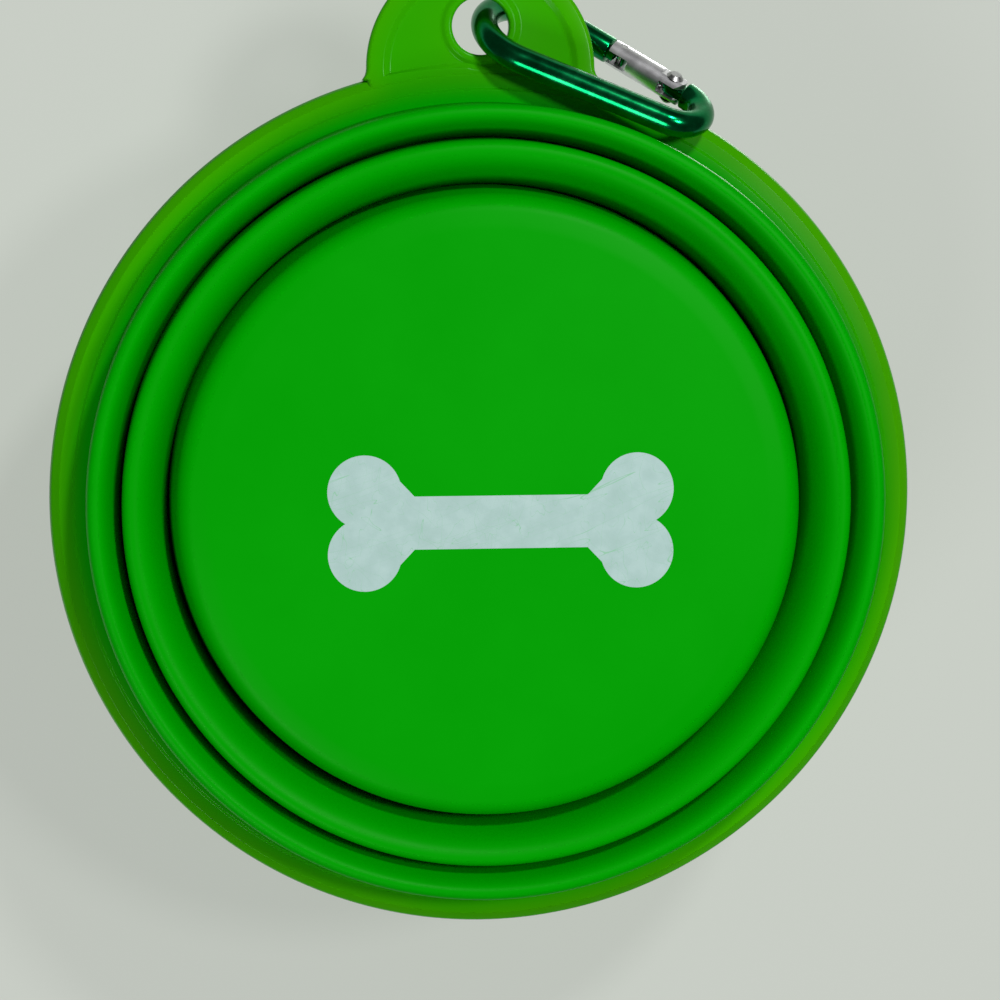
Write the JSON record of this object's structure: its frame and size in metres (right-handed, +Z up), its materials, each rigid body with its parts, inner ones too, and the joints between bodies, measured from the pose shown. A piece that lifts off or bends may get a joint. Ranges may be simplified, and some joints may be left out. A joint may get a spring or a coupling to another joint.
{
  "type": "collapsible silicone bowl",
  "caption": "Folding silicone travel bowl, folded flat, with a stiff rim, hanging tab and snap hook; it opens in steps to a deep tapered bowl.",
  "frame": {"origin": "centre of the foot that the bowl stands on, at table height", "axes": "+Z up along the bowl's axis; the hanging tab points to -Y; +X to the side the snap hook lies on; the bowl is stored folded flat"},
  "size_m": [0.1298, 0.1461, 0.0214],
  "materials": {
    "silicone": "satin green silicone",
    "rim": "glossy, slightly translucent yellow-green",
    "ink": "matte pale ink",
    "anodised": "green anodised, glossy",
    "bare_aluminium": "turned and polished",
    "steel": "plain"
  },
  "bodies": {
    "base": {"base_cup": "silicone", "bone_print": "ink", "lower_fold": "silicone"},
    "middle": {"middle_ring": "silicone", "upper_fold": "silicone"},
    "rim": {"upper_ring": "silicone", "rim_and_tab": "rim"},
    "hook": {"hook_frame": "anodised", "gate_rivet": "steel"},
    "gate": {"hook_gate": "bare_aluminium", "latch_pin": "steel", "gate_spring": "steel", "spring_plunger": "steel"}
  },
  "joints": [
    {"name": "lower_open", "type": "slide", "parent": "base", "child": "middle", "axis": [0, 0, 1], "range_m": [0, 0.0198], "deforming": ["lower_fold"]},
    {"name": "upper_open", "type": "slide", "parent": "middle", "child": "rim", "axis": [0, 0, 1], "range_m": [0, 0.0198], "deforming": ["upper_fold"]},
    {"name": "hook_swing", "type": "hinge", "parent": "rim", "child": "hook", "pos_m": [0, -0.0704, 0.012], "axis": [0, 0, 1], "range_deg": [-200, 0]},
    {"name": "gate_hinge", "type": "hinge", "parent": "hook", "child": "gate", "pos_m": [0.02834, -0.06131, 0.01132], "axis": [0.249, -0.7908, -0.5592], "range_deg": [0, 13], "stiffness_Nm_per_rad": 0.02, "springref_deg": -17.19}
  ]
}
